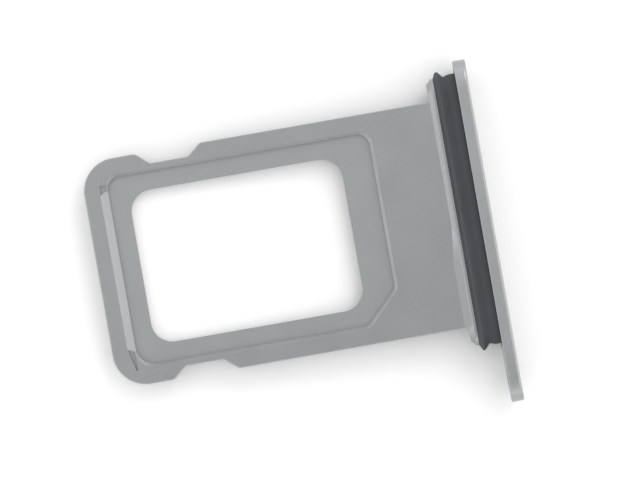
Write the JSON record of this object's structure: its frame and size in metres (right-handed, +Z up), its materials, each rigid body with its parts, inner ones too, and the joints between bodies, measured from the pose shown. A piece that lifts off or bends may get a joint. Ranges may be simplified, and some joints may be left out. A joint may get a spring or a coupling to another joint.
{
  "type": "sim card tray",
  "caption": "Flat metal tray that slides a nano card into a phone, with a face plate, an eject pin hole and a rubber seal ring.",
  "frame": {"origin": "crown of the face plate's outer face, on the middle line and middle plane of the tray's body", "axes": "+X out of the phone, away from the tray's free end; +Y across the tray, away from the eject pin hole; +Z up, out of the card pocket's mouth"},
  "size_m": [0.0185, 0.0161, 0.0024],
  "materials": {
    "tray_metal": "fine bead-blasted, matt silver",
    "seal_rubber": "smooth moulded black rubber"
  },
  "bodies": {
    "root": {"tray": "tray_metal", "seal_ring": "seal_rubber"}
  },
  "joints": []
}
